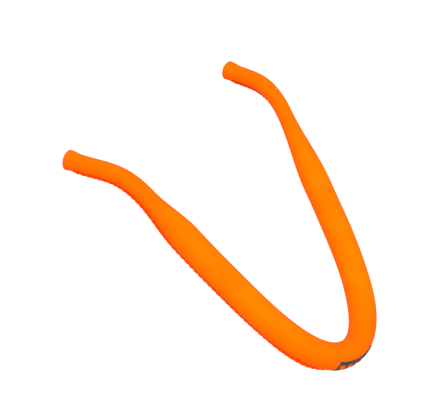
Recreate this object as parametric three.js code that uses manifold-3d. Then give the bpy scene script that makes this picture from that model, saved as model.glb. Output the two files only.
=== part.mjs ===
// Floating eyewear retainer: a tube of jersey-faced neoprene, overlocked along its underside, with a
// closed-cell foam float inside it and an open sleeve at each end that pushes onto a spectacle temple.
// Frame: the origin is midway between the two sleeve mouths, +X to the wearer's left, +Y from the
// mouths back to the loop, +Z up. Millimetres and degrees.
import * as THREE from "three";
import { ParametricGeometry } from "three/addons/geometries/ParametricGeometry.js";
import { mergeVertices } from "three/addons/utils/BufferGeometryUtils.js";
import Module from "manifold-3d";

const wasm = await Module();
wasm.setup();

// The strap's line. Stations along it are arc lengths from the middle of the back, positive to the left.
const strapLength = 331; // mouth to mouth along the strap
const turnSpread = 18.8; // arc length that sets how tightly the back of the loop turns
const legToe = 13; // angle between each leg and the loop's middle line
const sleeveToe = 4.5; // the same angle at the mouths
const loopDroop = 46.3; // slope of the loop's plane below the temples
const toeEaseFrom = 23.5; // from the mouth, where the leg's toe-in starts to ease off
const toeEaseTo = 7.5;
const earBendFrom = 43.5; // from the mouth, where the loop's slope starts to level out
const earBendTo = 13;

// Sections, as half widths (in the loop's plane) and half heights (across it).
const sheet = 0.9; // neoprene wall
const legHalf = [6.45, 6.45];
const turnHalf = [6.0, 6.45]; // the bend squeezes the tube in its own plane
const leftNeckHalf = [3.93, 4.03];
const rightNeckHalf = [3.63, 3.73];
const sleeveHalf = [3.9, 3.9];
const mouthFlare = 0.65; // how much the mouth stands out round the temple
const flareLength = 6;
const neckFrom = 22; // from the mouth: the sleeve narrows to the neck between these two
const neckTo = 31;
const taperFrom = 40.5; // from the mouth: the neck swells to the float from here
const leftTaperTo = 66; // to here, sooner on the left, where the float is pushed in further
const rightTaperTo = 79;
const turnReach = 30; // from the middle of the back, how far the squeeze reaches

// Float core: a foam rod that fills the cover's inside.
const corePastTaper = 5; // how far past the start of the swelling the core's end lies
const coreGap = 0.3;

// Overlocked seam along the underside.
const seamThick = 1.8; // both plies with the looper threads round them
const seamTall = 0.95;
const seamLean = 30; // how far the seam leans to the outside of the loop along the legs
const leanFrom = 60; // from the mouth: that lean dies away between these two
const leanTo = 10;
const seamRoll = 12; // how far both sleeves are rolled about their own line, to the left at the bottom
const seamTurnLean = 22; // further lean where the legs run into the turn
const seamTurnAt = 28; // from the middle of the back
const seamTurnWidth = 11;
const seamFromMouth = 3;
const seamLift = 0.3;
const seamEndGap = 0.8; // beyond the ball of a joint
const needleSize = 0.5; // needle thread, in the crease on the inner side of the seam
const needleGap = 0.3;
const needleLift = 0.5;

// Badge printed on the outside of the back.
const badgeLong = 24.7;
const badgeAt = 2.85; // printed this far to the left of the middle of the back
const badgeTall = 8.7;
const badgeCorner = 3;
const badgeFromSeam = 3.2; // from the middle of the seam to the badge's lower edge, round the cover
const badgeThick = 0.5;
const badgeLift = 0.3;
const barCount = 5;
const barWide = 3;
const barTall = 5.2;
const barPitch = 4.5;
const barSlant = 0.35; // sideways shift of a bar's top, as a share of its height

// Flex joints: each stands for a stretch of strap that bends, as a ball inside a socket.
const legJointAt = 24; // from the middle of the back
const neckJointGap = 6; // from the start of the swelling, towards the mouth
const ballRoom = 0.75; // how much the ball stands out round the cover
const ballGap = 0.3;

// Fineness.
const coverSides = 16;
const coreSides = 12;
const legStep = 5.5;
const bendStep = 2.8;
const lineStep = 0.25;
const weldTolerance = 1e-4;

const halfLength = strapLength / 2;
const neckJointAt = halfLength - taperFrom + neckJointGap;
const coreEndAt = halfLength - taperFrom - corePastTaper;
const up = Math.PI / 2;

const smooth = (x) => THREE.MathUtils.smoothstep(x, 0, 1);
const mix = THREE.MathUtils.lerp;
const fromMouth = (s) => halfLength - Math.abs(s);

// How full the cover is at station s: 0 in the neck and the sleeve, 1 over the float.
function filled(s) {
  const taperTo = s < 0 ? rightTaperTo : leftTaperTo;
  return smooth((fromMouth(s) - taperFrom) / (taperTo - taperFrom));
}

// Turning angle from +X at station s: a sech-shaped bend at the back (its integral is the
// Gudermann function), and a last easing towards the sleeves.
function turning(s) {
  const gudermann = 2 * Math.atan(Math.tanh(Math.abs(s) / turnSpread / 2));
  const eased = smooth((toeEaseFrom - fromMouth(s)) / (toeEaseFrom - toeEaseTo));
  const angle = ((90 - legToe) * gudermann) / up + (legToe - sleeveToe) * eased;
  return Math.sign(s) * THREE.MathUtils.degToRad(angle);
}

// Slope of the strap's own plane at station s: the loop's droop, level at the sleeves.
function slope(s) {
  const level = smooth((earBendFrom - fromMouth(s)) / (earBendFrom - earBendTo));
  return THREE.MathUtils.degToRad(loopDroop * (1 - level));
}

// The strap's own axes at station s: along it, outward in the loop's plane, and across that plane.
function axesAt(s) {
  const t = turning(s);
  const d = slope(s);
  return {
    along: new THREE.Vector3(Math.cos(t), -Math.sin(t) * Math.cos(d), Math.sin(t) * Math.sin(d)),
    outward: new THREE.Vector3(Math.sin(t), Math.cos(t) * Math.cos(d), -Math.cos(t) * Math.sin(d)),
    over: new THREE.Vector3(0, Math.sin(d), Math.cos(d)),
  };
}

// Centre line of one half, summed from the middle of the back in short steps.
const halfLine = [new THREE.Vector3()];
const lineSteps = Math.ceil((halfLength + 2) / lineStep);
for (let i = 0; i < lineSteps; i++) {
  const { along } = axesAt((i + 0.5) * lineStep);
  halfLine.push(halfLine[i].clone().addScaledVector(along, lineStep));
}

function onHalfLine(distance) {
  const i = Math.min(Math.floor(distance / lineStep), lineSteps - 1);
  return halfLine[i].clone().lerp(halfLine[i + 1], distance / lineStep - i);
}

const mouthMiddle = onHalfLine(halfLength).setX(0);

function centreAt(s) {
  const p = onHalfLine(Math.abs(s)).sub(mouthMiddle);
  return s < 0 ? p.setX(-p.x) : p;
}

// Half width and half height of the cover's outside at station s.
function coverHalf(s) {
  const m = fromMouth(s);
  const turn = smooth(1 - Math.abs(s) / turnReach);
  const neck = smooth((m - neckFrom) / (neckTo - neckFrom));
  const flare = mouthFlare * smooth(1 - m / flareLength);
  const neckHalf = s < 0 ? rightNeckHalf : leftNeckHalf;
  return [0, 1].map((k) => {
    const slim = mix(sleeveHalf[k], neckHalf[k], neck) + flare;
    return mix(slim, mix(legHalf[k], turnHalf[k], turn), filled(s));
  });
}

const shrunk = (by) => (s) => coverHalf(s).map((h) => h - by);
const outside = shrunk(0);
const inside = shrunk(sheet);
const coreHalf = shrunk(sheet + coreGap);

// A point of the section at station s: angle 0 is outward, 90 degrees is over the strap.
function sectionPoint(s, angle, half, share = 1) {
  const { outward, over } = axesAt(s);
  const [w, h] = half(s);
  return centreAt(s)
    .addScaledVector(outward, w * share * Math.cos(angle))
    .addScaledVector(over, h * share * Math.sin(angle));
}

// Station where a line along the section meets a ball round a joint, on the side that way points to.
function stationOnBall(ball, way, angle, half, share = 1) {
  const middle = centreAt(ball.at);
  let near = ball.at;
  let far = ball.at + way * ball.radius * 1.6;
  for (let i = 0; i < 24; i++) {
    const s = (near + far) / 2;
    const inBall = sectionPoint(s, angle, half, share).distanceTo(middle) < ball.radius;
    if (inBall) near = s;
    else far = s;
  }
  return (near + far) / 2;
}

// Stations between two ends, closer together in the bends than along the legs.
function stationsBetween(from, to) {
  const list = [from];
  const straight = (s) => Math.abs(s) > 42 && fromMouth(s) > taperFrom;
  while (to - list.at(-1) > 1.5 * bendStep) {
    const s = list.at(-1);
    const step = straight(s) ? legStep : bendStep;
    list.push(to - s > 1.5 * step ? s + step : (s + to) / 2);
  }
  return [...list, to];
}

// Shared vertices become one, and triangles that this shrinks to a line are left out.
function welded(geometry) {
  const shape = geometry.clone();
  shape.deleteAttribute("normal");
  shape.deleteAttribute("uv");
  const merged = mergeVertices(shape, weldTolerance);
  const index = merged.index.array;
  const kept = [];
  for (let i = 0; i < index.length; i += 3) {
    const [a, b, c] = index.slice(i, i + 3);
    if (a !== b && b !== c && c !== a) kept.push(a, b, c);
  }
  return merged.setIndex(kept);
}

// A closed mesh from rows of points, each row a function of the angle round the section.
function loft(rows, sides) {
  const shape = new ParametricGeometry(
    (u, v, target) => {
      const row = rows[Math.round(v * (rows.length - 1))];
      target.copy(row(2 * Math.PI * (Math.round(u * sides) % sides) / sides));
    },
    sides,
    rows.length - 1,
  );
  return welded(shape);
}

// One row of the section at an end: flat across the strap, or lying on a ball round a joint.
function endRow(end, half, share = 1) {
  if (!end.ball) return (angle) => sectionPoint(end.at, angle, half, share);
  return (angle) => {
    const s = stationOnBall(end.ball, end.way, angle, half, share);
    return sectionPoint(s, angle, half, share);
  };
}

// Rows from one end to the other; beyond says how much of the strap a ball-shaped end takes up.
function sideRows(from, to, half) {
  const stations = stationsBetween(from.at + (from.skip ?? 0), to.at - (to.skip ?? 0));
  const middle = stations.slice(from.ball ? 0 : 1, to.ball ? undefined : -1);
  const plain = middle.map((s) => (angle) => sectionPoint(s, angle, half));
  return [endRow(from, half), ...plain, endRow(to, half)];
}

// Tube of sheet: along its outside, over the end, back along its inside and over the other end.
function tube(from, to) {
  const outer = sideRows(from, to, outside);
  const inner = sideRows(from, to, inside).reverse();
  return loft([...outer, ...inner, outer[0]], coverSides);
}

// Solid rod, closed at both ends by rings that shrink to a point.
function rod(from, to, half) {
  const shares = [0, 0.35, 0.7];
  const start = shares.map((share) => endRow(from, half, share));
  const end = shares.map((share) => endRow(to, half, share)).reverse();
  return loft([...start, ...sideRows(from, to, half), ...end], coreSides);
}

// Ends of a piece at a joint: the ball end reaches past the joint, the socket end stops short of it.
const ballRadius = (at) => Math.max(...coverHalf(at)) + ballRoom;

function ballEnd(at, way) {
  return { at, way, skip: 0, ball: { at, radius: ballRadius(at) } };
}

function socketEnd(at, way) {
  const radius = ballRadius(at) + ballGap;
  return { at, way, skip: radius, ball: { at, radius } };
}

const flatEnd = (at) => ({ at });

// How far from a joint's middle the seam has to stop, to lie outside the ball.
function seamStop(at) {
  const inner = Math.min(...coverHalf(at)) + seamLift;
  return Math.sqrt((ballRadius(at) + ballGap) ** 2 - inner ** 2) + seamEndGap;
}

// Angle round the section at which the seam lies, at station s.
function seamAngle(s) {
  const lean = seamLean * smooth((fromMouth(s) - leanTo) / (leanFrom - leanTo));
  const roll = seamRoll * Math.sign(s) * (1 - filled(s));
  const turn = Math.exp(-(((Math.abs(s) - seamTurnAt) / seamTurnWidth) ** 2));
  return -up + THREE.MathUtils.degToRad(lean + roll + seamTurnLean * turn);
}

// A slim bar along the seam line: its section is a box, set off sideways and outwards from the cover.
function seamBar(from, to, wide, tall, sideways, lift) {
  const corner = (s, x, y) => {
    const angle = seamAngle(s);
    const { outward, over } = axesAt(s);
    const out = outward.clone().multiplyScalar(Math.cos(angle)).addScaledVector(over, Math.sin(angle));
    const aside = outward.clone().multiplyScalar(-Math.sin(angle)).addScaledVector(over, Math.cos(angle));
    return sectionPoint(s, angle, outside).addScaledVector(out, y).addScaledVector(aside, x);
  };
  const corners = [
    [-wide / 2, lift],
    [wide / 2, lift],
    [wide / 2, lift + tall],
    [-wide / 2, lift + tall],
  ];
  const rows = stationsBetween(from, to).map((s) => (angle) => {
    const [x, y] = corners[Math.round(angle / up) % 4];
    return corner(s, x + sideways, y);
  });
  const cap = (s) => () => corner(s, sideways, lift + tall / 2);
  return loft([cap(from), ...rows, cap(to)].reverse(), 4);
}

const overlock = (from, to) => seamBar(from, to, seamThick, seamTall, 0, seamLift);
const needleAside = seamThick / 2 + needleGap + needleSize / 2;

// The inner side of the loop is the side of falling angles on both halves.
const needle = (from, to) => seamBar(from, to, needleSize, needleSize, -needleAside, needleLift);

// Booleans.
function solid(geometry) {
  const merged = welded(geometry);
  const vertProperties = new Float32Array(merged.attributes.position.array);
  const triVerts = new Uint32Array(merged.index.array);
  return new wasm.Manifold(new wasm.Mesh({ numProp: 3, vertProperties, triVerts }));
}

function geometryOf(made) {
  const { vertProperties, triVerts } = made.getMesh();
  const shape = new THREE.BufferGeometry();
  shape.setAttribute("position", new THREE.BufferAttribute(vertProperties, 3));
  shape.setIndex(new THREE.BufferAttribute(triVerts, 1));
  return shape;
}

// Badge: a skin round the back of the loop, cut to an outline with round corners and slanted openings.
function badge() {
  const reach = badgeLong / 2 + Math.abs(badgeAt) + 3;
  const under = shrunk(-badgeLift);
  const over = shrunk(-badgeLift - badgeThick);
  const stations = stationsBetween(-reach, reach);
  const skin = (half) => stations.map((s) => (angle) => sectionPoint(s, angle, half));
  const outer = skin(over);
  const shell = solid(loft([...outer, ...skin(under).reverse(), outer[0]], 2 * coverSides));
  const { along, outward, over: across } = axesAt(0);
  const radius = turnHalf[0] + badgeLift + badgeThick;
  const tilt = seamAngle(0) + badgeFromSeam / radius + Math.asin(badgeTall / 2 / radius);
  const out = outward.multiplyScalar(Math.cos(tilt)).addScaledVector(across, Math.sin(tilt));
  const place = new THREE.Matrix4().makeBasis(along, out.clone().cross(along), out);
  place.setPosition(centreAt(0).addScaledVector(along, badgeAt));
  const stamp = (outline) => {
    const settings = { depth: 3 * turnHalf[0], bevelEnabled: false, curveSegments: 8 };
    return solid(new THREE.ExtrudeGeometry(outline, settings).applyMatrix4(place));
  };
  const outline = new THREE.Shape();
  const [endX, endY] = [badgeLong / 2 - badgeCorner, badgeTall / 2 - badgeCorner];
  for (const [k, x, y] of [[0, endX, -endY], [1, endX, endY], [2, -endX, endY], [3, -endX, -endY]]) {
    outline.absarc(x, y, badgeCorner, (k - 1) * up, k * up);
  }
  let print = shell.intersect(stamp(outline));
  for (let i = 0; i < barCount; i++) {
    const x = (i - (barCount - 1) / 2) * barPitch;
    const shift = (barSlant * barTall) / 2;
    const bar = new THREE.Shape([
      new THREE.Vector2(x - barWide / 2 - shift, -barTall / 2),
      new THREE.Vector2(x + barWide / 2 - shift, -barTall / 2),
      new THREE.Vector2(x + barWide / 2 + shift, barTall / 2),
      new THREE.Vector2(x - barWide / 2 + shift, barTall / 2),
    ]);
    print = print.subtract(stamp(bar));
  }
  return geometryOf(print);
}

// Materials.
const finish = (color, roughness, metalness = 0) =>
  new THREE.MeshStandardMaterial({ color, roughness, metalness });
const neoprene = finish(0xff7b00, 0.85);
const foam = finish(0xf4f1ea, 0.95);
const seamThread = finish(0xff6400, 0.7);
const needleThread = finish(0xfa4600, 0.7);
const badgePrint = finish(0x3c4540, 0.6);

const strap = new THREE.Group();

function add(name, geometry, material) {
  const mesh = new THREE.Mesh(geometry, material);
  mesh.name = name;
  geometry.computeVertexNormals();
  strap.add(mesh);
}

// Back of the loop.
const backEnds = [socketEnd(-legJointAt, 1), socketEnd(legJointAt, -1)];
const backSeam = legJointAt - seamStop(legJointAt);
add("back_cover", tube(...backEnds), neoprene);
add("back_float_core", rod(...backEnds, coreHalf), foam);
add("back_overlock", overlock(-backSeam, backSeam), seamThread);
add("back_needle_thread", needle(-backSeam, backSeam), needleThread);
add("back_badge", badge(), badgePrint);

// The two sides: the same pieces, their stations counted to the left or to the right. Every piece is
// made in the order of rising stations, so the right side's ends change places.
for (const [side, way] of [["left", 1], ["right", -1]]) {
  const legEnd = ballEnd(way * legJointAt, -way);
  const neckSocket = socketEnd(way * neckJointAt, -way);
  const neckEnd = ballEnd(way * neckJointAt, -way);
  const mouth = flatEnd(way * halfLength);
  const coreEnd = flatEnd(way * coreEndAt);
  const ordered = (near, far) => (way > 0 ? [near, far] : [far, near]);
  const stretch = (near, far) => ordered(way * near, way * far);
  const legSeam = stretch(legJointAt + seamStop(legJointAt), neckJointAt - seamStop(neckJointAt));
  const sleeveSeam = stretch(neckJointAt + seamStop(neckJointAt), halfLength - seamFromMouth);
  add(`${side}_leg_cover`, tube(...ordered(legEnd, neckSocket)), neoprene);
  add(`${side}_leg_float_core`, rod(...ordered(legEnd, coreEnd), coreHalf), foam);
  add(`${side}_leg_overlock`, overlock(...legSeam), seamThread);
  add(`${side}_leg_needle_thread`, needle(...legSeam), needleThread);
  add(`${side}_sleeve_cover`, tube(...ordered(neckEnd, mouth)), neoprene);
  add(`${side}_sleeve_overlock`, overlock(...sleeveSeam), seamThread);
  add(`${side}_sleeve_needle_thread`, needle(...sleeveSeam), needleThread);
}

export default strap;
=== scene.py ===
# Floating eyewear retainer: a jersey-faced neoprene tube over a foam rod, overlocked along its
# underside, with an open temple sleeve at each end and a printed badge on the back of the loop.
# Frame: the origin is midway between the two sleeve mouths, +X to the wearer's left, +Y from the
# mouths back to the loop, +Z up. Sizes are in millimetres and degrees, and meshes are in metres.
import bpy
import numpy as np
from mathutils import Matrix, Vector


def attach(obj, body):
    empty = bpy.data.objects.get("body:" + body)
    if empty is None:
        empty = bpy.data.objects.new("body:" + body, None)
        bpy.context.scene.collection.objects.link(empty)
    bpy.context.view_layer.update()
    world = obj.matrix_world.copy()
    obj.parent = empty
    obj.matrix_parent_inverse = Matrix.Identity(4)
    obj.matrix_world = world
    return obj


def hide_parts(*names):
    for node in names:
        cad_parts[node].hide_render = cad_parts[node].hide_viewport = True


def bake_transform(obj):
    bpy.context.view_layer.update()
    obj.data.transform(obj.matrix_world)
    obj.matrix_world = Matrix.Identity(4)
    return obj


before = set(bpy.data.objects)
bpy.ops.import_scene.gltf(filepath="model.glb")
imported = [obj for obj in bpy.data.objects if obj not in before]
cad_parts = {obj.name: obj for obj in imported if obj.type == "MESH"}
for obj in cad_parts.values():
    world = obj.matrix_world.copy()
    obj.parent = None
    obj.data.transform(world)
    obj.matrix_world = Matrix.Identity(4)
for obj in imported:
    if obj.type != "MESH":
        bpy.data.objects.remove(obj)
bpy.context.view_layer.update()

millimetre = 0.001
fullTurn = 2 * np.pi


def smoothStep(x):
    # 0 below 0 and 1 above 1, with 3x^2 - 2x^3 between
    x = np.clip(x, 0, 1)
    return x * x * (3 - 2 * x)


def mix(a, b, share):
    return a + (b - a) * share


def hump(x, width):
    # bell of height 1 at x = 0: exp(-(x / width)^2)
    return np.exp(-((x / width) ** 2))


# The strap's line. Stations along it are arc lengths from the middle of the back, positive to the left.
line = {
    "length": 331.0,  # mouth to mouth along the strap
    "turnSpread": 18.8,  # arc length that sets how tightly the back turns
    "legToe": 13.0,  # angle between each leg and the loop's middle line
    "sleeveToe": 4.5,  # the same angle at the mouths
    "droop": 46.3,  # slope of the loop's plane below the temples
    "toeEase": (23.5, 7.5),  # from the mouth, where the toe-in eases off
    "earBend": (43.5, 13.0),  # from the mouth, where the slope levels out
    "step": 0.25,
}
halfLength = line["length"] / 2


def fromMouth(s):
    return halfLength - np.abs(s)


def fade(m, ends):
    # 0 farther from the mouth than the first value, 1 nearer than the second
    return smoothStep((ends[0] - m) / (ends[0] - ends[1]))


def turning(s):
    # angle from +X: (90 - toe) times the Gudermann function of s / spread, eased at the sleeves
    gudermann = 2 * np.arctan(np.tanh(np.abs(s) / line["turnSpread"] / 2))
    eased = (line["legToe"] - line["sleeveToe"]) * fade(fromMouth(s), line["toeEase"])
    angle = (90 - line["legToe"]) * gudermann / (np.pi / 2) + eased
    return np.sign(s) * np.radians(angle)


def slope(s):
    # the droop, levelling out towards the sleeves
    return np.radians(line["droop"]) * (1 - fade(fromMouth(s), line["earBend"]))


def axesAt(s):
    # three unit vectors at each station: along the strap, outward in the loop's plane, across it
    t, d = turning(s), slope(s)
    along = np.stack((np.cos(t), -np.sin(t) * np.cos(d), np.sin(t) * np.sin(d)), -1)
    outward = np.stack((np.sin(t), np.cos(t) * np.cos(d), -np.cos(t) * np.sin(d)), -1)
    over = np.stack((np.zeros_like(t), np.sin(d), np.cos(d)), -1)
    return along, outward, over


lineStations = np.arange(0, halfLength + 2, line["step"])
lineSteps = axesAt(lineStations[:-1] + line["step"] / 2)[0] * line["step"]
halfLine = np.vstack((np.zeros((1, 3)), np.cumsum(lineSteps, axis=0)))
mouthMiddle = [0] + [np.interp(halfLength, lineStations, halfLine[:, k]) for k in (1, 2)]


def centreAt(s):
    # the sum of the small steps along the strap, mirrored in X for the right half
    x, y, z = [np.interp(np.abs(s), lineStations, halfLine[:, k]) - mouthMiddle[k] for k in range(3)]
    return np.stack((x * np.where(s < 0, -1, 1), y, z), -1)


# The cover's section, as half widths in the loop's plane and half heights across it.
cover = {
    "sheet": 0.9,  # neoprene wall
    "legHalf": (6.45, 6.45),
    "turnHalf": (6.0, 6.45),
    "leftNeckHalf": (3.93, 4.03),
    "rightNeckHalf": (3.63, 3.73),
    "sleeveHalf": (3.9, 3.9),
    "flare": 0.65,  # how much the mouth stands out
    "flareLength": 6.0,
    "neck": (31.0, 22.0),  # from the mouth: the narrow neck ends between these two
    "leftTaper": (66.0, 40.5),  # from the mouth: the float's swelling ends between these two
    "rightTaper": (79.0, 40.5),
    "turnReach": 30.0,  # from the middle of the back
    "unevenness": 0.05,  # hand-made waviness of the filled tube
    "waves": (9.1, 5.7),  # two wave lengths, over a full turn
    "creaseDeep": 0.16,  # soft creases on the inside of the turn
    "creaseApart": 8.5,
    "creaseSharp": 0.3,
    "creaseReach": 22.0,  # from the middle of the back
    "channelDeep": 0.22,  # how far the stitching draws the cover in beside the seam
    "channelAt": 0.6,  # from the side of the plies
    "channelWide": 0.9,
    "pucker": 0.45,  # share of that which comes and goes with each stitch
    "rimRound": 0.14,  # how far the cut edge of the mouth is rounded back
    "rimRows": 9,
    "stationStep": 0.35,
    "insideStep": 2.0,
    "sideColumns": 96,  # of the mesh, round the section from one side of the seam to the other
    "splitAt": 75.0,  # from the middle of the back, where each side's two pieces meet
    "turnToneReach": 1.3,  # the turn's darker orange reaches out to this share of turnReach, fading on the way
    "layoutRadius": 6.0,  # the knit is laid out round a tube of this radius
}


def filled(s):
    # 1 over the float, 0 in the neck and the sleeve
    left, right = [1 - fade(fromMouth(s), cover[taper]) for taper in ("leftTaper", "rightTaper")]
    return np.where(s < 0, right, left)


def coverHalf(s):
    # half width and half height of the outside: neck or sleeve plus flare, swelling over the float
    m = fromMouth(s)
    squeeze = smoothStep(1 - np.abs(s) / cover["turnReach"])
    sleeve = fade(m, cover["neck"])
    flare = cover["flare"] * smoothStep(1 - m / cover["flareLength"])
    halves = []
    for k in range(2):
        neck = np.where(s < 0, cover["rightNeckHalf"][k], cover["leftNeckHalf"][k])
        thin = mix(neck, cover["sleeveHalf"][k], sleeve) + flare
        full = mix(cover["legHalf"][k], cover["turnHalf"][k], squeeze)
        halves.append(mix(thin, full, filled(s)))
    return halves


# The seam: two plies of neoprene wrapped by looper threads, one stitch after another.
seam = {
    "thick": 1.5,  # both plies
    "tall": 1.35,  # between the looper threads' crossings
    "fillet": 0.55,  # width of the curve where the cover runs up into the plies
    "crown": 0.4,  # rounded share of the height
    "groove": 0.1,  # between the two plies, as a share of the height
    "lean": 30.0,  # to the outside of the loop, along the legs
    "leanEnds": (60.0, 10.0),  # from the mouth: the lean dies away between these two
    "roll": 12.0,  # both sleeves are rolled this far to the left at the bottom
    "turnLean": 22.0,  # further lean where the legs run into the turn
    "turnAt": 28.0,  # from the middle of the back
    "turnWidth": 11.0,
    "fromMouth": 3.0,
    "startLength": 2.0,
    "stitch": 2.8,
    "scallop": 0.5,  # share of the height that the looper threads pull in
    "scallopWide": 0.24,  # as a share of a stitch
    "pinch": 0.16,  # share of the thickness that they pull in
    "creaseAt": 0.25,  # from the side of the plies: the middle of the painted shade in the crease
    "creaseWide": 0.45,
    "plyShade": 0.2,  # share of the crease's painted shade at the top of the plies
    "columns": 40,  # of the mesh, across the seam
}
seamRun = halfLength - seam["fromMouth"]
stitchCount = round(seamRun / seam["stitch"])
stitchPitch = seamRun / stitchCount


def seamAngle(s):
    # straight below, leaning outward along the float and further where the legs run into the turn
    lean = seam["lean"] * (1 - fade(fromMouth(s), seam["leanEnds"]))
    lean = lean + seam["roll"] * np.sign(s) * (1 - filled(s))
    lean = lean + seam["turnLean"] * hump(np.abs(s) - seam["turnAt"], seam["turnWidth"])
    return np.radians(lean - 90)


def stitchPhase(s):
    # stitches counted from the mouth, whole numbers where the needle went through
    return (seamRun - np.abs(s)) / stitchPitch


def pull(s):
    # bell over each stitch, 1 where the looper threads cross over the edge, midway between two
    # needle holes
    phase = stitchPhase(s)
    return hump(phase - np.floor(phase) - 0.5, seam["scallopWide"])


def seamed(s):
    # 0 in the plain cuff, 1 where the seam has its full height
    return smoothStep((fromMouth(s) - seam["fromMouth"]) / seam["startLength"])


def seamHeight(s):
    # the full height, less the share that the looper threads pull in at each crossing
    return seam["tall"] * seamed(s) * (1 - seam["scallop"] * pull(s))


def softShape(s, angle):
    # two slow sine waves over the filled tube, less a bell for each crease inside the turn, less a
    # bell for the channel beside the seam, which deepens and fades with each stitch
    long, short = cover["waves"]
    waves = np.sin(s / long + 2 * np.sin(angle)) + np.sin(s / short - 1.5 * np.cos(angle + 0.7))
    inner = smoothStep(-np.cos(angle) * 1.6) * hump(s, cover["creaseReach"])
    folds = np.sin((np.abs(s) + 2 * np.sin(angle)) * np.pi / cover["creaseApart"])
    creases = hump(folds, cover["creaseSharp"]) * inner
    aside = (np.mod(angle - seamAngle(s) + np.pi, fullTurn) - np.pi) * coverHalf(s)[1]
    fromPlies = np.abs(aside) - seam["thick"] / 2
    channel = hump(fromPlies - cover["channelAt"], cover["channelWide"]) * seamed(s)
    drawn = channel * (1 + cover["pucker"] * np.cos(fullTurn * stitchPhase(s)))
    shape = cover["unevenness"] * waves * mix(0.4, 1, filled(s))
    return shape - cover["creaseDeep"] * creases - cover["channelDeep"] * drawn


def sectionPoint(s, angle, inset=0.0):
    # centre + outward * width * cos(angle) + over * height * sin(angle), both halves less the inset
    _, outward, over = axesAt(s)
    wide, tall = [(half - inset)[..., None] for half in coverHalf(s)]
    c, n = np.cos(angle)[..., None], np.sin(angle)[..., None]
    return centreAt(s) + outward * c * wide + over * n * tall


def coverPoint(s, angle, lift=0.0):
    # the plain section moved along its radius by the soft shape and the lift
    _, outward, over = axesAt(s)
    radial = outward * np.cos(angle)[..., None] + over * np.sin(angle)[..., None]
    return sectionPoint(s, angle) + radial * (softShape(s, angle) + lift)[..., None]


def besideSeam(s, x, y):
    # a point near the seam: x sideways from its middle and y up from the round of the cover, which
    # falls away by radius - sqrt(radius^2 - x^2)
    angle = seamAngle(s)
    _, outward, over = axesAt(s)
    c, n = np.cos(angle)[..., None], np.sin(angle)[..., None]
    up = outward * c + over * n
    aside = over * c - outward * n
    radius = coverHalf(s)[1]
    fall = radius - np.sqrt(radius ** 2 - x ** 2)
    return sectionPoint(s, angle) + aside * x[..., None] + up * (y - fall)[..., None], up


# Meshes.
def gridFaces(rows, columns, ringed):
    # quads of a grid whose columns close on themselves, and its rows too where it is ringed
    i = np.arange(rows if ringed else rows - 1)[:, None]
    j = np.arange(columns)[None, :]
    nextRow, nextColumn = (i + 1) % rows, (j + 1) % columns
    corners = [row * columns + column for row, column in
               ((i, j), (i, nextColumn), (nextRow, nextColumn), (nextRow, j))]
    return np.stack(np.broadcast_arrays(*corners), -1).reshape(-1, 4)


def quadUv(u, v, bands):
    # the grid's u and v at the four corners of each quad, in the order gridFaces gives them
    low, high = slice(0, bands), slice(1, bands + 1)
    left, right = slice(0, -1), slice(1, None)
    corners = [(low, left), (low, right), (high, right), (high, left)]
    return np.stack([np.stack((u[q], v[q]), -1) for q in corners], -2).reshape(-1, 2)


def makePiece(name, points, faces, material, caps=(), uv=None, smooth=True):
    # points in millimetres; faces are quads, caps are extra faces with any number of corners
    mesh = bpy.data.meshes.new(name)
    flat = points.reshape(-1, 3) * millimetre
    mesh.vertices.add(len(flat))
    mesh.vertices.foreach_set("co", flat.ravel())
    corners = np.concatenate([faces.ravel(), *caps]).astype(np.int32)
    sizes = np.array([4] * len(faces) + [len(cap) for cap in caps])
    mesh.loops.add(len(corners))
    mesh.loops.foreach_set("vertex_index", corners)
    mesh.polygons.add(len(sizes))
    mesh.polygons.foreach_set("loop_start", (np.cumsum(sizes) - sizes).astype(np.int32))
    mesh.polygons.foreach_set("use_smooth", np.full(len(sizes), smooth))
    mesh.update(calc_edges=True)
    if uv is not None:
        mesh.uv_layers.new(name="cloth").data.foreach_set("uv", uv.astype(np.float32).ravel())
    mesh.materials.append(material)
    piece = bpy.data.objects.new(name, mesh)
    bpy.context.scene.collection.objects.link(piece)
    return piece


def addAttribute(piece, name, values):
    attribute = piece.data.attributes.new(name, "FLOAT", "POINT")
    attribute.data.foreach_set("value", values.astype(np.float32).ravel())


def sharpenRows(piece, columns, rows):
    # edges that run round one of these rows of the grid get a hard crease
    mesh = piece.data
    ends = np.zeros(len(mesh.edges) * 2, np.int32)
    mesh.edges.foreach_get("vertices", ends)
    row = ends.reshape(-1, 2) // columns
    hard = (row[:, 0] == row[:, 1]) & np.isin(row[:, 0], rows)
    mesh.edges.foreach_set("use_edge_sharp", hard)


def tube(path, up, radius, sides):
    # a circle of that radius carried along a path, with a flat face at each end
    along = np.gradient(path, axis=0)
    along /= np.linalg.norm(along, axis=1)[:, None]
    first = up - along * np.sum(up * along, axis=1)[:, None]
    first /= np.linalg.norm(first, axis=1)[:, None]
    second = np.cross(along, first)
    angle = np.arange(sides)[None, :, None] * fullTurn / sides
    points = path[:, None] + radius * (first[:, None] * np.cos(angle) + second[:, None] * np.sin(angle))
    rows = len(path)
    caps = [np.arange(sides)[::-1], (rows - 1) * sides + np.arange(sides)]
    steps = np.linalg.norm(np.diff(path, axis=0), axis=1)
    u, v = np.meshgrid(np.concatenate(([0], np.cumsum(steps))), np.arange(sides + 1) / sides, indexing="ij")
    return points.reshape(-1, 3), gridFaces(rows, sides, False), caps, quadUv(u, v, rows - 1)


# Materials.
def linear(hexColour):
    # sRGB hex to linear red, green, blue, alpha
    values = np.array([int(hexColour[k:k + 2], 16) for k in (1, 3, 5)]) / 255
    low, high = values / 12.92, ((values + 0.055) / 1.055) ** 2.4
    return (*np.where(values <= 0.04045, low, high).tolist(), 1.0)


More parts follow.
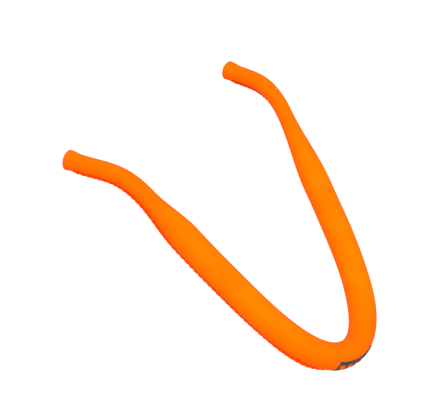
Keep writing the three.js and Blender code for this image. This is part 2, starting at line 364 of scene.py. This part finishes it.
def addNode(tree, kind, settings=(), **inputs):
    # a node with its settings; an input is named, or _ and its number, and is a value, a socket to
    # link from, or a node whose first output is linked
    node = tree.nodes.new(kind)
    for key, value in dict(settings).items():
        setattr(node, key, value)
    for key, value in inputs.items():
        socket = node.inputs[int(key[1:])] if key[0] == "_" else node.inputs[key.replace("_", " ")]
        if isinstance(value, bpy.types.Node):
            value = value.outputs[0]
        if isinstance(value, bpy.types.NodeSocket):
            tree.links.new(value, socket)
        else:
            socket.default_value = value
    return node


def newMaterial(name):
    material = bpy.data.materials.new(name)
    material.use_nodes = True
    material.node_tree.nodes.clear()
    return material, material.node_tree


jersey = {
    "colour": "#fd6600",  # bright orange dye, along the legs
    "sleeveAndTurnColour": "#fc5d00",  # a darker orange, in the sleeves and in the turn
    "dyeAndKnitShadeColour": "#f85000",  # where the yarn takes the dye up more, and painted shade in the hollows of the knit
    "seamShadeColour": "#f43c00",  # painted shade down in the crease beside the seam
    "foamColour": "#e8742a",  # the cut edge: dyed faces, and foam stained by them between
    "wale": 0.8,  # knit column; the real 0.5 mm is drawn coarser so that it shows
    "course": 0.65,  # knit row, drawn coarser in the same share
    "knitDeep": 0.09,
    "fuzz": 2500.0,  # per metre: fibres 0.4 mm apart
    "blotch": 90.0,  # per metre: shade varies over about 11 mm
    "roughness": 0.85,
    "gloss": 0.06,  # specular level
    "sheen": 0.05,
    "bloom": "#ff7800",  # of the sheen and the highlight
}


def jerseyNeoprene():
    # neoprene sheet with a dyed polyester jersey laminated on: matt, evenly bright, with a faint knit grain
    # along the strap and a trace of bloom from the fibres at glancing angles; painted shade darkens the
    # knit's hollows and the crease beside the seam
    material, tree = newMaterial("jersey_faced_neoprene")
    cloth = addNode(tree, "ShaderNodeUVMap", {"uv_map": "cloth"})
    place = addNode(tree, "ShaderNodeTexCoord").outputs["Object"]
    split = addNode(tree, "ShaderNodeSeparateXYZ", _0=cloth)
    course = addNode(tree, "ShaderNodeMath", {"operation": "DIVIDE"},
                     _0=split.outputs[0], _1=jersey["course"])
    wale = addNode(tree, "ShaderNodeMath", {"operation": "DIVIDE"},
                   _0=split.outputs[1], _1=jersey["wale"])
    # the two legs of a stitch lean towards each other: a row is shifted by the distance from the
    # middle of its column
    lean = addNode(tree, "ShaderNodeMath", {"operation": "PINGPONG"}, _0=wale, _1=0.5)
    shifted = addNode(tree, "ShaderNodeMath", {"operation": "ADD"}, _0=course, _1=lean)
    rowTurn = addNode(tree, "ShaderNodeMath", {"operation": "MULTIPLY"}, _0=shifted, _1=fullTurn)
    columnTurn = addNode(tree, "ShaderNodeMath", {"operation": "MULTIPLY"}, _0=lean, _1=fullTurn)
    rowWave = addNode(tree, "ShaderNodeMath", {"operation": "SINE"}, _0=rowTurn)
    columnWave = addNode(tree, "ShaderNodeMath", {"operation": "SINE"}, _0=columnTurn)
    knit = addNode(tree, "ShaderNodeMath", {"operation": "MULTIPLY_ADD"}, _0=rowWave, _1=0.35, _2=columnWave)
    fuzz = addNode(tree, "ShaderNodeTexNoise", Vector=place, Scale=jersey["fuzz"], Detail=3.0)
    height = addNode(tree, "ShaderNodeMath", {"operation": "MULTIPLY_ADD"}, _0=knit, _1=0.5, _2=fuzz)
    deep = jersey["knitDeep"] * millimetre
    bump = addNode(tree, "ShaderNodeBump", Strength=0.8, Distance=deep, Height=height)
    blotch = addNode(tree, "ShaderNodeTexNoise", Vector=place, Scale=jersey["blotch"], Detail=4.0)
    dye = addNode(tree, "ShaderNodeMapRange", Value=blotch, _1=0.35, _2=0.75, _3=0.0, _4=0.3)
    # a darker orange in the sleeves and in the turn, lighter along the legs
    legShare = addNode(tree, "ShaderNodeAttribute", {"attribute_name": "legShare"}).outputs["Fac"]
    plain = addNode(tree, "ShaderNodeMix", {"data_type": "RGBA"}, _0=legShare,
                    _6=linear(jersey["sleeveAndTurnColour"]), _7=linear(jersey["colour"])).outputs[2]
    dyed = addNode(tree, "ShaderNodeMix", {"data_type": "RGBA"}, _0=dye,
                   _6=plain, _7=linear(jersey["dyeAndKnitShadeColour"])).outputs[2]
    # painted shade: the hollows of the knit, low in its bump's height, darken towards the darker colour
    between = addNode(tree, "ShaderNodeMapRange", Value=height, _1=0.0, _2=0.9, _3=0.3, _4=0.0)
    knitted = addNode(tree, "ShaderNodeMix", {"data_type": "RGBA"}, _0=between,
                      _6=dyed, _7=linear(jersey["dyeAndKnitShadeColour"])).outputs[2]
    # painted shade down in the crease beside the seam, and a share of it over the plies
    creaseShade = addNode(tree, "ShaderNodeAttribute", {"attribute_name": "seamCreaseShade"}).outputs["Fac"]
    creaseShaded = addNode(tree, "ShaderNodeMix", {"data_type": "RGBA"}, _0=creaseShade,
                      _6=knitted, _7=linear(jersey["seamShadeColour"])).outputs[2]
    cut = addNode(tree, "ShaderNodeAttribute", {"attribute_name": "cutEdge"}).outputs["Fac"]
    colour = addNode(tree, "ShaderNodeMix", {"data_type": "RGBA"}, _0=cut,
                     _6=creaseShaded, _7=linear(jersey["foamColour"])).outputs[2]
    shader = addNode(
        tree, "ShaderNodeBsdfPrincipled", Base_Color=colour, Roughness=jersey["roughness"],
        Normal=bump, IOR=1.5, Specular_IOR_Level=jersey["gloss"], Sheen_Weight=jersey["sheen"],
        Sheen_Roughness=0.5, Sheen_Tint=linear(jersey["bloom"]), Specular_Tint=linear(jersey["bloom"]),
    )
    addNode(tree, "ShaderNodeOutputMaterial", Surface=shader)
    return material


foamLook = {"colour": "#efeae0", "cellColour": "#cfc8ba", "cell": 0.35, "roughness": 0.9}


def closedCellFoam():
    # extruded polyethylene foam rod: off-white, matt, with a skin of fine closed cells
    material, tree = newMaterial("closed_cell_polyethylene_foam")
    place = addNode(tree, "ShaderNodeTexCoord").outputs["Object"]
    cells = addNode(tree, "ShaderNodeTexVoronoi", Vector=place, Scale=1 / (foamLook["cell"] * millimetre))
    bump = addNode(tree, "ShaderNodeBump", Strength=0.4, Distance=0.05 * millimetre, Height=cells)
    tone = addNode(tree, "ShaderNodeMapRange", Value=cells, _1=0.0, _2=0.8, _3=0.0, _4=0.25)
    colour = addNode(tree, "ShaderNodeMix", {"data_type": "RGBA"}, _0=tone,
                     _6=linear(foamLook["colour"]), _7=linear(foamLook["cellColour"])).outputs[2]
    shader = addNode(
        tree, "ShaderNodeBsdfPrincipled", Base_Color=colour, Roughness=foamLook["roughness"],
        IOR=1.5, Specular_IOR_Level=0.3, Normal=bump,
    )
    addNode(tree, "ShaderNodeOutputMaterial", Surface=shader)
    return material


threadLook = {
    "looper": "#fc5c00",
    "needle": "#ee3c00",
    "grooveShade": "#c93200",  # painted shade in the groove between the thread's two plies
    "lay": 1.3,  # length in which the plies go once round
    "roughness": 0.65,
    "bloom": "#ff7800",  # of the sheen and the highlight
}


def polyesterThread(name, hexColour):
    # spun polyester thread: two plies twisted together, dyed, with a slight sheen, and painted shade in the
    # groove between the plies
    material, tree = newMaterial(name)
    cloth = addNode(tree, "ShaderNodeUVMap", {"uv_map": "cloth"})
    split = addNode(tree, "ShaderNodeSeparateXYZ", _0=cloth)
    lay = addNode(tree, "ShaderNodeMath", {"operation": "MULTIPLY_ADD"},
                  _0=split.outputs[0], _1=1 / threadLook["lay"], _2=split.outputs[1])
    twice = addNode(tree, "ShaderNodeMath", {"operation": "MULTIPLY"}, _0=lay, _1=2 * fullTurn)
    plies = addNode(tree, "ShaderNodeMath", {"operation": "SINE"}, _0=twice)
    bump = addNode(tree, "ShaderNodeBump", Strength=0.6, Distance=0.06 * millimetre, Height=plies)
    # painted shade: the thread darkens towards the groove between its two plies
    shade = addNode(tree, "ShaderNodeMapRange", Value=plies, _1=-1.0, _2=1.0, _3=0.35, _4=0.0)
    colour = addNode(tree, "ShaderNodeMix", {"data_type": "RGBA"}, _0=shade,
                     _6=linear(hexColour), _7=linear(threadLook["grooveShade"])).outputs[2]
    shader = addNode(
        tree, "ShaderNodeBsdfPrincipled", Base_Color=colour, Roughness=threadLook["roughness"],
        IOR=1.5, Specular_IOR_Level=0.12, Sheen_Weight=0.05, Sheen_Tint=linear(threadLook["bloom"]),
        Specular_Tint=linear(threadLook["bloom"]), Normal=bump,
    )
    addNode(tree, "ShaderNodeOutputMaterial", Surface=shader)
    return material


inkLook = {"colour": "#242d27", "wornColour": "#313a34", "grain": 1600.0, "roughness": 0.6}


def screenPrint():
    # heat-cured screen ink on jersey: dark charcoal, satin, with the knit showing faintly through
    material, tree = newMaterial("charcoal_screen_print")
    place = addNode(tree, "ShaderNodeTexCoord").outputs["Object"]
    grain = addNode(tree, "ShaderNodeTexNoise", Vector=place, Scale=inkLook["grain"], Detail=3.0)
    bump = addNode(tree, "ShaderNodeBump", Strength=0.3, Distance=0.04 * millimetre, Height=grain)
    colour = addNode(tree, "ShaderNodeMix", {"data_type": "RGBA"}, _0=grain,
                     _6=linear(inkLook["colour"]), _7=linear(inkLook["wornColour"])).outputs[2]
    shader = addNode(
        tree, "ShaderNodeBsdfPrincipled", Base_Color=colour, Roughness=inkLook["roughness"], IOR=1.5,
        Specular_IOR_Level=0.2, Normal=bump,
    )
    addNode(tree, "ShaderNodeOutputMaterial", Surface=shader)
    return material


neoprene = jerseyNeoprene()
foam = closedCellFoam()
looperThread = polyesterThread("polyester_looper_thread", threadLook["looper"])
needleThread = polyesterThread("polyester_needle_thread", threadLook["needle"])
badgeInk = screenPrint()
print("materials made")


# Cover.
def seamProfile():
    # across the seam, u from -1 to 1: the inner half of the range is a half ellipse over the plies
    # with a groove between them, the rest falls down the flanks and runs out level in a fillet.
    # Gives the offset sideways in millimetres and the share of the seam's height.
    u = np.linspace(-1, 1, seam["columns"])
    half = seam["thick"] / 2
    down = np.clip(2 * np.abs(u) - 1, 0, 1)
    onTop = np.abs(u) <= 0.5
    x = np.where(onTop, half * np.sin(u * np.pi), np.sign(u) * (half + seam["fillet"] * down ** 3))
    crown = 1 - seam["crown"] + seam["crown"] * np.cos(u * np.pi)
    y = np.where(onTop, crown, (1 - seam["crown"]) * (1 - down) ** 2)
    return x, y - seam["groove"] * hump(x, 0.16)


def sectionAngles(s):
    # angles of the columns round the section at each station, closer together across the seam,
    # where the looper threads pinch the plies; and how high each column stands on the seam
    x, y = seamProfile()
    radius = coverHalf(s)[1][:, None]
    reach = (seam["thick"] / 2 + seam["fillet"]) / radius
    rest = np.arange(1, cover["sideColumns"] + 1) / (cover["sideColumns"] + 1)
    across = x / radius * (1 - seam["pinch"] * y * pull(s)[:, None])
    angle = seamAngle(s)[:, None] + np.hstack((across, reach + (fullTurn - 2 * reach) * rest))
    rise = np.hstack((seamHeight(s)[:, None] * y, np.zeros((len(s), cover["sideColumns"]))))
    return angle, rise


def coverPiece(name, start, end):
    # a closed ring of rows: along the outside, over a mouth's cut edge where there is one, back
    # along the inside, and over the other end. The cut edge runs across the sheet, rounded back at
    # both faces by the fifth power of the distance from its middle.
    outer = np.linspace(start, end, int(round((end - start) / cover["stationStep"])) + 1)
    inner = np.linspace(end, start, int(round((end - start) / cover["insideStep"])) + 1)
    across = np.linspace(0, 1, cover["rimRows"] + 2)[1:-1]
    back = cover["rimRound"] * np.abs(2 * across - 1) ** 5
    rim = np.zeros((0, 3))
    if start < 1 - halfLength:
        rim = np.stack((start + back, across, across), -1)[::-1]
    if end > halfLength - 1:
        rim = np.stack((end - back, across, across), -1)
    parts = [np.stack((outer, 0 * outer, 0 * outer), -1), np.stack((inner, 1 + 0 * inner, 0 * inner), -1)]
    parts.insert(2 if start < 1 - halfLength else 1, rim)
    stations, share, rimShare = np.vstack(parts).T
    angle, rise = sectionAngles(stations)
    grid = np.repeat(stations[:, None], angle.shape[1], 1)
    outside = (share == 0)[:, None]
    points = np.where(
        outside[..., None], coverPoint(grid, angle, rise),
        sectionPoint(grid, angle, (share * cover["sheet"])[:, None]),
    )
    rows, columns = angle.shape
    around = np.hstack((angle, angle[:, :1] + fullTurn)) - seamAngle(stations)[:, None]
    around = around * cover["layoutRadius"]
    around = np.vstack((around, around[:1]))
    length = np.append(stations, stations[0])
    uv = quadUv(np.repeat(length[:, None], columns + 1, 1), around, rows)
    piece = makePiece(name, points, gridFaces(rows, columns, True), neoprene, uv=uv)
    cut = smoothStep(4 * np.minimum(rimShare, 1 - rimShare) - 0.3) * (rimShare > 0)
    addAttribute(piece, "cutEdge", np.repeat(cut[:, None], columns, 1))
    # lighter orange along the legs, darker in the sleeves and towards the middle of the back
    turnShare = smoothStep(cover["turnToneReach"] - np.abs(stations) / cover["turnReach"])
    legShare = filled(stations) * (1 - turnShare)
    addAttribute(piece, "legShare", np.repeat(legShare[:, None], columns, 1))
    # painted shade: the cover darkens in the crease at the foot of the plies, and by a share over them
    aside = (np.mod(angle - seamAngle(grid) + np.pi, fullTurn) - np.pi) * coverHalf(grid)[1]
    fromPlies = np.abs(aside) - seam["thick"] / 2
    creaseShade = hump(fromPlies - seam["creaseAt"], seam["creaseWide"]) * seamed(grid) * outside
    onPlies = seam["plyShade"] * rise / seam["tall"] * outside
    addAttribute(piece, "seamCreaseShade", np.clip(creaseShade + onPlies, 0, 1))
    plain = [k for k, at in ((0, start), (len(outer) - 1, end)) if abs(at) < halfLength - 1]
    ends = {0: (0, rows - 1), len(outer) - 1: (len(outer) - 1, len(outer))}
    sharpenRows(piece, columns, [row for k in plain for row in ends[k]])
    return piece


# Float core.
core = {
    "gap": 0.15,  # to the cover's inside
    "end": 120.0,  # from the middle of the back
    "endRound": 2.5,
    "endRows": 10,
    "endTurn": 1.45,  # radians of the quarter circle, stopping short of a point
    "columns": 48,
    "stationStep": 1.2,
}


def corePiece(name, way):
    # rod that fills the cover, from the middle of the back; over its free end the radius falls off
    # as a quarter circle
    bow = np.linspace(0, core["endTurn"], core["endRows"])
    body = np.arange(0, core["end"] - core["endRound"], core["stationStep"])
    tip = core["end"] - core["endRound"] * (1 - np.sin(bow))
    stations = np.concatenate((body, tip))
    share = np.concatenate((np.ones(len(body)), np.cos(bow)))
    if way < 0:
        stations, share = -stations[::-1], share[::-1]
    rows, columns = len(stations), core["columns"]
    grid, angle = np.meshgrid(stations, np.arange(columns) * fullTurn / columns, indexing="ij")
    middle = centreAt(stations)[:, None]
    rod = sectionPoint(grid, angle, cover["sheet"] + core["gap"])
    points = middle + (rod - middle) * share[:, None, None]
    caps = [np.arange(columns)[::-1], (rows - 1) * columns + np.arange(columns)]
    piece = makePiece(name, points, gridFaces(rows, columns, False), foam, caps=caps)
    sharpenRows(piece, columns, [0, rows - 1])
    return piece


# Threads.
threads = {
    "looperThick": 0.42,
    "needleThick": 0.42,
    "perStitch": 18,  # points along each stitch
    "sides": 7,
    "bite": 1.2,  # from the seam's middle to the looper's foot
    "footLift": 0.12,  # height of the foot, as a share of the crossing's
    "crossPast": 1.12,  # the loops cross the middle and end this far over, past 1
    "crossLean": 0.2,  # along the strap, apart from the loop on the other side
    "needleAside": 1.35,  # on the inner side of the loop
    "needleRise": 0.32,
    "needleSink": 0.14,
}


def looperPath(phase, way, flank):
    # foot of each loop at the whole stitches, over the edge of the plies midway between them:
    # the climb is (1 - cos(turn * phase)) / 2, and the height goes with climb^0.8
    climb = 0.5 - 0.5 * np.cos(fullTurn * phase)
    s = way * (seamRun - stitchPitch * phase - flank * threads["crossLean"] * climb ** 4)
    half = seam["thick"] / 2 + threads["looperThick"] * 0.32
    over = threads["crossPast"] * smoothStep(climb * 1.9 - 0.9)
    x = mix(threads["bite"], half, smoothStep(climb * 3)) * (1 - over)
    y = mix(threads["footLift"], 1.0, climb ** 0.8) * (seamHeight(s) + threads["looperThick"] * 0.3)
    return besideSeam(s, flank * x, y)


def needlePath(phase, way):
    # each stitch lies on the cover and dips into it at both ends: rise * |sin|^0.7 - sink
    s = way * (seamRun - stitchPitch * phase)
    y = threads["needleRise"] * np.abs(np.sin(np.pi * phase)) ** 0.7 - threads["needleSink"]
    return besideSeam(s, np.full(s.shape, -threads["needleAside"]), y)


def threadPiece(name, runs, thick, material):
    # several threads as one mesh
    points, faces, caps, uvs = [], [], [], []
    offset = 0
    for path, up in runs:
        p, f, ends, uv = tube(path, up, thick / 2, threads["sides"])
        points.append(p)
        faces.append(f + offset)
        caps += [ring + offset for ring in ends]
        uvs.append(uv)
        offset += len(p)
    uvs.append(np.zeros((sum(len(ring) for ring in caps), 2)))
    return makePiece(name, np.vstack(points), np.vstack(faces), material, caps=caps, uv=np.vstack(uvs))


# Badge.
badge = {
    "long": 24.7,
    "at": 2.85,  # printed this far to the left of the middle of the back
    "tall": 8.7,
    "corner": 3.0,
    "fromSeam": 3.2,  # from the middle of the seam to the lower edge, round the cover
    "thick": 0.14,
    "lift": 0.02,
    "radius": 6.8,  # of the section that its outline is laid out on
    "bars": 5,
    "barWide": 3.0,
    "barTall": 5.2,
    "barPitch": 4.5,
    "barSlant": 0.35,  # sideways shift of an opening's top, as a share of its height
    "perMillimetre": 4,  # columns of the mesh
    "barRows": 25,
    "cornerRows": 10,
    "rounds": 8,  # of closing in on the surface
    "firstGuess": 0.8,
    "correction": 0.75,
}


def badgeGrid():
    # rows from the lower edge to the upper one, columns slanted like the openings; past the
    # outermost opening they spread out to the outline, whose corners are quarter circles
    halfLong, halfTall, halfBar = badge["long"] / 2, badge["tall"] / 2, badge["barTall"] / 2
    flat = halfTall - badge["corner"]
    first = np.arcsin((halfBar - flat) / badge["corner"])
    upper = flat + badge["corner"] * np.sin(np.linspace(first, np.pi / 2, badge["cornerRows"]))
    v = np.concatenate((-upper[::-1], np.linspace(-halfBar, halfBar, badge["barRows"])[1:-1], upper))
    middles = (np.arange(badge["bars"]) - (badge["bars"] - 1) / 2) * badge["barPitch"]
    edges = (middles[:, None] + np.array([-0.5, 0.5]) * badge["barWide"]).ravel()
    marks = np.concatenate(([-halfLong], edges, [halfLong]))
    counts = np.ceil(np.diff(marks) * badge["perMillimetre"]).astype(int)
    spans = [np.linspace(a, b, n + 1)[:-1] for a, b, n in zip(marks[:-1], marks[1:], counts)]
    u = np.append(np.concatenate(spans), halfLong)
    gridU, gridV = np.meshgrid(u, v)
    overFlat = np.maximum(np.abs(gridV) - flat, 0)
    end = halfLong - badge["corner"] + np.sqrt(np.maximum(badge["corner"] ** 2 - overFlat ** 2, 0))
    edge = edges[-1]
    spread = np.clip((np.abs(gridU) - edge) / (halfLong - edge), 0, 1)
    slanted = np.clip(gridU, -edge, edge) + badge["barSlant"] * np.clip(gridV, -halfBar, halfBar)
    x = mix(slanted, np.sign(gridU) * end, spread)
    # which squares of the grid lie in an opening
    midU, midV = (u[1:] + u[:-1]) / 2, (v[1:] + v[:-1]) / 2
    inBar = (np.abs(midU[:, None] - middles) < badge["barWide"] / 2).any(1)
    return x + badge["at"], gridV, inBar[None] & (np.abs(midV) < halfBar)[:, None]


def badgePiece():
    # two skins a hair apart over the back of the loop, joined by walls round every edge
    x, v, opening = badgeGrid()
    radius = badge["radius"]
    tilt = seamAngle(np.zeros(1))[0] + badge["fromSeam"] / radius + np.arcsin(badge["tall"] / 2 / radius)
    angle = tilt + np.arcsin(v / radius)
    s = x * badge["firstGuess"]
    for _ in range(badge["rounds"]):  # closes in on the station whose surface point has that x
        surface = centreAt(s)[..., 0] + coverHalf(s)[0] * np.cos(angle) * np.sin(turning(s))
        s = s + (x - surface) * badge["correction"]
    low = coverPoint(s, angle, np.full(s.shape, badge["lift"]))
    high = coverPoint(s, angle, np.full(s.shape, badge["lift"] + badge["thick"]))
    rows, columns = x.shape
    number = np.arange(rows * columns).reshape(rows, columns)
    quads = np.stack((number[:-1, :-1], number[:-1, 1:], number[1:, 1:], number[1:, :-1]), -1)
    keep = ~opening
    padded = np.pad(keep, 1)
    walls = []
    for k, (down, right) in enumerate(((-1, 0), (0, 1), (1, 0), (0, -1))):
        bare = keep & ~padded[1 + down:rows + down, 1 + right:columns + right]
        p, q = quads[bare][:, k], quads[bare][:, (k + 1) % 4]
        walls.append(np.stack((q, p, p + x.size, q + x.size), -1))
    faces = np.vstack((quads[keep], quads[keep][:, ::-1] + x.size, *walls))
    points = np.vstack((low.reshape(-1, 3), high.reshape(-1, 3)))
    used, faces = np.unique(faces, return_inverse=True)
    return makePiece("back_badge_print", points[used], faces.reshape(-1, 4), badgeInk, smooth=False)


# Every piece and the CAD pieces that it stands for. There are two joints a side; of each, only the names of
# the two bodies are read, not the stretch over which the strap bends.
blends = {
    "turn": ("back", "leg", 13.0, 36.0),
    "ear": ("leg", "sleeve", 121.5, 140.5),
}


def onBodies(piece, side, part, kinds):
    # the piece's transform is baked, and it stands for those kinds of CAD piece on its two bodies, which are
    # hidden
    near, far, *ends = blends[part]
    near = near if near == "back" else f"{side}_{near}"
    far = f"{side}_{far}"
    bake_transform(piece)
    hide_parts(*[f"{body}_{kind}" for body in (near, far) for kind in kinds
                         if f"{body}_{kind}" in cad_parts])


splitStitch = round((seamRun - cover["splitAt"]) / stitchPitch)
parts = {  # stations, stitches counted from the mouth, and how full the tube is
    "turn": ((0.0, cover["splitAt"]), (splitStitch, stitchCount), 1.0),
    "ear": ((cover["splitAt"], halfLength), (0, splitStitch), 0.5),
}
for side, way in (("left", 1), ("right", -1)):
    for part, (stations, stitches, fill) in parts.items():
        piece = coverPiece(f"{side}_{part}_cover", *sorted(way * at for at in stations))
        onBodies(piece, side, part, ["cover"])
        points = (stitches[1] - stitches[0]) * threads["perStitch"] + 1
        phase = np.linspace(*stitches[::-way], points)  # rising stations
        loops = [looperPath(phase, way, flank) for flank in (1, -1)]
        piece = threadPiece(f"{side}_{part}_looper_threads", loops, threads["looperThick"], looperThread)
        onBodies(piece, side, part, ["overlock"])
        stitch = [needlePath(phase, way)]
        piece = threadPiece(f"{side}_{part}_needle_thread", stitch, threads["needleThick"], needleThread)
        onBodies(piece, side, part, ["needle_thread"])
    onBodies(corePiece(f"{side}_float_core", way), side, "turn", ["float_core"])
    print(side, "side made")

badgePrint = badgePiece()
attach(badgePrint, "back")
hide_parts("back_badge")
print("badge made")

studio = {
    "floorDrop": 450.0,  # below the origin
    "floorHalf": 20000.0,
    "floorColour": "#d4d4d4",
    "aim": (4.968, 43.739, -29.46),
    "azimuth": 126.313,
    "elevation": 28.442,
    "distance": 786.28,
    "lens": 141.29,
    "sky": 0.83,
    "keyFrom": (0.46, 0.43, 0.8),
    "keyStrength": 3.9,
    "keyAngle": 70.0,  # a wide softbox
}


def makeFloor():
    half, drop = studio["floorHalf"] * millimetre, -studio["floorDrop"] * millimetre
    mesh = bpy.data.meshes.new("floor")
    corners = [(x * half, y * half, drop) for x, y in ((-1, -1), (1, -1), (1, 1), (-1, 1))]
    mesh.from_pydata(corners, [], [(0, 1, 2, 3)])
    material, tree = newMaterial("pale_studio_floor")
    shader = addNode(tree, "ShaderNodeBsdfPrincipled", Base_Color=linear(studio["floorColour"]),
                     Roughness=0.9, Specular_IOR_Level=0.0)
    addNode(tree, "ShaderNodeOutputMaterial", Surface=shader)
    mesh.materials.append(material)
    floor = bpy.data.objects.new("floor", mesh)
    bpy.context.scene.collection.objects.link(floor)
    floor.visible_diffuse = False  # it lights nothing from below


def makeLight():
    world = bpy.data.worlds.new("studio")
    world.use_nodes = True
    background = world.node_tree.nodes["Background"]
    background.inputs["Color"].default_value = (1, 1, 1, 1)
    background.inputs["Strength"].default_value = studio["sky"]
    bpy.context.scene.world = world
    key = bpy.data.lights.new("softbox", "SUN")
    key.energy = studio["keyStrength"]
    key.angle = np.radians(studio["keyAngle"])
    lamp = bpy.data.objects.new("softbox", key)
    lamp.rotation_euler = Vector(studio["keyFrom"]).to_track_quat("Z", "Y").to_euler()
    bpy.context.scene.collection.objects.link(lamp)


def makeCamera():
    # looks back along the direction that the azimuth and the elevation give
    eye = bpy.data.cameras.new("camera")
    eye.sensor_width = 36.0
    eye.lens = studio["lens"]
    eye.clip_start, eye.clip_end = 0.01, 100.0
    camera = bpy.data.objects.new("camera", eye)
    a, e = np.radians(studio["azimuth"]), np.radians(studio["elevation"])
    back = Vector((np.sin(a) * np.cos(e), -np.cos(a) * np.cos(e), np.sin(e)))
    camera.location = (Vector(studio["aim"]) + back * studio["distance"]) * millimetre
    camera.rotation_euler = back.to_track_quat("Z", "Y").to_euler()
    bpy.context.scene.collection.objects.link(camera)
    bpy.context.scene.camera = camera


makeFloor()
makeLight()
makeCamera()
bpy.context.scene.view_settings.view_transform = "Standard"
print("studio made")
